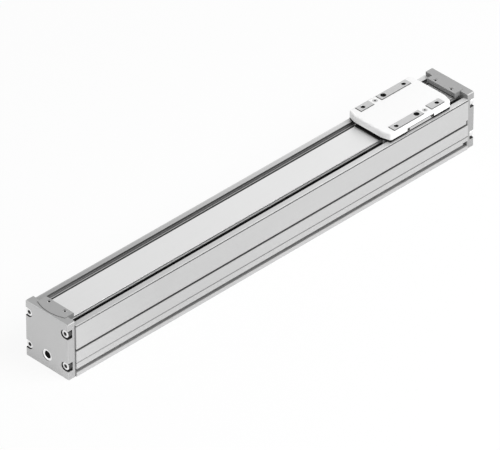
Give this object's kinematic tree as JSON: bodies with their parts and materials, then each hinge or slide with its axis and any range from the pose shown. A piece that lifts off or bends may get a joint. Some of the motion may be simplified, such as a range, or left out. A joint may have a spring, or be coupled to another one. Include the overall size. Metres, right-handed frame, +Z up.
{
  "type": "passive guide axis",
  "caption": "Covered linear guide axis without drive: a low white carriage with mounting pads slides along an aluminium profile under a steel strip, between two end caps.",
  "frame": {"origin": "centre of the base, on the face the axis stands on, halfway between the outer faces of the end caps", "axes": "+X along the axis from the front end cap to the rear end cap, +Y across the profile, +Z up through the carriage's pads"},
  "size_m": [0.546, 0.06, 0.0703],
  "materials": {
    "anodised_profile": "clear anodised, fine drawn grain along the axis",
    "cast_aluminium": "matte cast and shot blasted",
    "slide_aluminium": "fine machined",
    "strip_steel": "brushed stainless band",
    "ground_steel": "ground and hardened",
    "ball_steel": "polished bearing steel",
    "zinc_screw": "bright zinc plated",
    "black_screw": "black oxide",
    "white_plastic": "fine grained white moulding",
    "black_plastic": "moulded, matte",
    "black_rubber": "matte elastomer",
    "nipple_brass": "turned brass",
    "magnet_coating": "nickel plated"
  },
  "bodies": {
    "base": {"guide_profile": "anodised_profile", "guide_rail": "ground_steel", "rail_screws": "zinc_screw", "rail_plugs": "black_plastic", "cover_strip": "strip_steel", "front_end_cap": "cast_aluminium", "front_cap_screws": "zinc_screw", "front_strip_clamp": "black_plastic", "front_clamp_screws": "zinc_screw", "front_stop_buffer": "black_rubber", "rear_end_cap": "cast_aluminium", "rear_cap_screws": "zinc_screw", "rear_strip_clamp": "black_plastic", "rear_clamp_screws": "zinc_screw", "rear_stop_buffer": "black_rubber"},
    "carriage": {"slide_body": "slide_aluminium", "slide_cover": "white_plastic", "cover_screws": "zinc_screw", "runner_block": "ground_steel", "runner_balls": "ball_steel", "runner_screws": "black_screw", "grease_nipples": "nipple_brass", "sensor_magnets": "magnet_coating", "front_runner_end": "black_plastic", "front_runner_seal": "black_rubber", "front_strip_wiper": "black_plastic", "rear_runner_end": "black_plastic", "rear_runner_seal": "black_rubber", "rear_strip_wiper": "black_plastic"}
  },
  "joints": [
    {"name": "carriage_slide", "type": "slide", "parent": "base", "child": "carriage", "axis": [1, 0, 0], "range_m": [-0.3985, 0.0015]}
  ]
}
